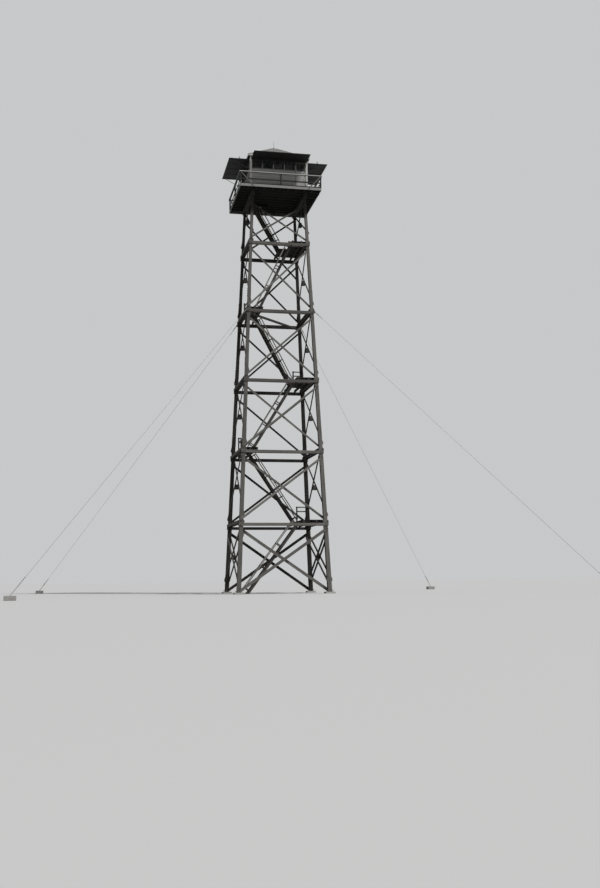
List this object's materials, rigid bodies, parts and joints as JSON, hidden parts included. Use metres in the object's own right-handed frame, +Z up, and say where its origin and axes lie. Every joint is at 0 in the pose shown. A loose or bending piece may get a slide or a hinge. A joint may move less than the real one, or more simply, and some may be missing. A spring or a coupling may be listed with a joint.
{
  "type": "fire lookout tower",
  "caption": "Tall four-legged timber lookout tower with cross-braced faces, zigzag stairs and landings, a railed catwalk, a hip-roofed cab with raised shutters, and guy cables.",
  "frame": {"origin": "on the ground, midway between the four legs", "axes": "+Z up, -Y the front of the tower, +X to the right as seen from the front"},
  "size_m": [35.82, 35.82, 34.53],
  "materials": {
    "leg_timber": "creosoted, weathered",
    "frame_timber": "creosoted, weathered",
    "stair_timber": "weathered",
    "concrete": "rough concrete",
    "steel_fittings": "galvanised, dull",
    "cable_steel": "stranded wire",
    "rod_metal": "dull",
    "deck_boards": "weathered",
    "pale_rail": "painted, worn",
    "catwalk_timber": "weathered",
    "cab_siding": "painted boards",
    "cab_trim": "painted",
    "cab_door_paint": "painted",
    "window_glass": "clear",
    "shutter_paint": "dark painted",
    "roof_metal": "dull grey"
  },
  "bodies": {
    "root": {"brace_spacer_blocks": "frame_timber", "braces_front": "frame_timber", "braces_left": "frame_timber", "braces_rear": "frame_timber", "braces_right": "frame_timber", "cab_corner_boards": "cab_trim", "cab_door": "cab_door_paint", "cab_floor": "deck_boards", "cab_wall_front": "cab_siding", "cab_wall_left": "cab_siding", "cab_wall_rear": "cab_siding", "cab_wall_right": "cab_siding", "cap_beams": "frame_timber", "catwalk_corner_braces": "catwalk_timber", "catwalk_deck": "deck_boards", "catwalk_fascia": "catwalk_timber", "catwalk_mid_rails": "catwalk_timber", "catwalk_rail_posts": "catwalk_timber", "catwalk_top_rails": "pale_rail", "deck_joists": "frame_timber", "footings": "concrete", "girts_front_and_rear": "frame_timber", "girts_sides": "frame_timber", "guy_cables": "cable_steel", "guy_fittings": "steel_fittings", "landing_bearers": "stair_timber", "landing_decks": "stair_timber", "leg_front_left": "leg_timber", "leg_front_right": "leg_timber", "leg_rear_left": "leg_timber", "leg_rear_right": "leg_timber", "leg_splice_plates_and_shoes": "steel_fittings", "lightning_rod": "rod_metal", "plan_brace": "frame_timber", "roof": "roof_metal", "roof_eave_boards": "cab_trim", "shutter_front": "shutter_paint", "shutter_left": "shutter_paint", "shutter_props": "shutter_paint", "shutter_rear": "shutter_paint", "shutter_right": "shutter_paint", "stair_handrails": "stair_timber", "stair_rail_posts": "stair_timber", "stair_stringers": "stair_timber", "stair_treads_front_flights": "stair_timber", "stair_treads_rear_flights": "stair_timber", "window_glass": "window_glass", "window_sashes": "cab_trim"}
  },
  "joints": []
}
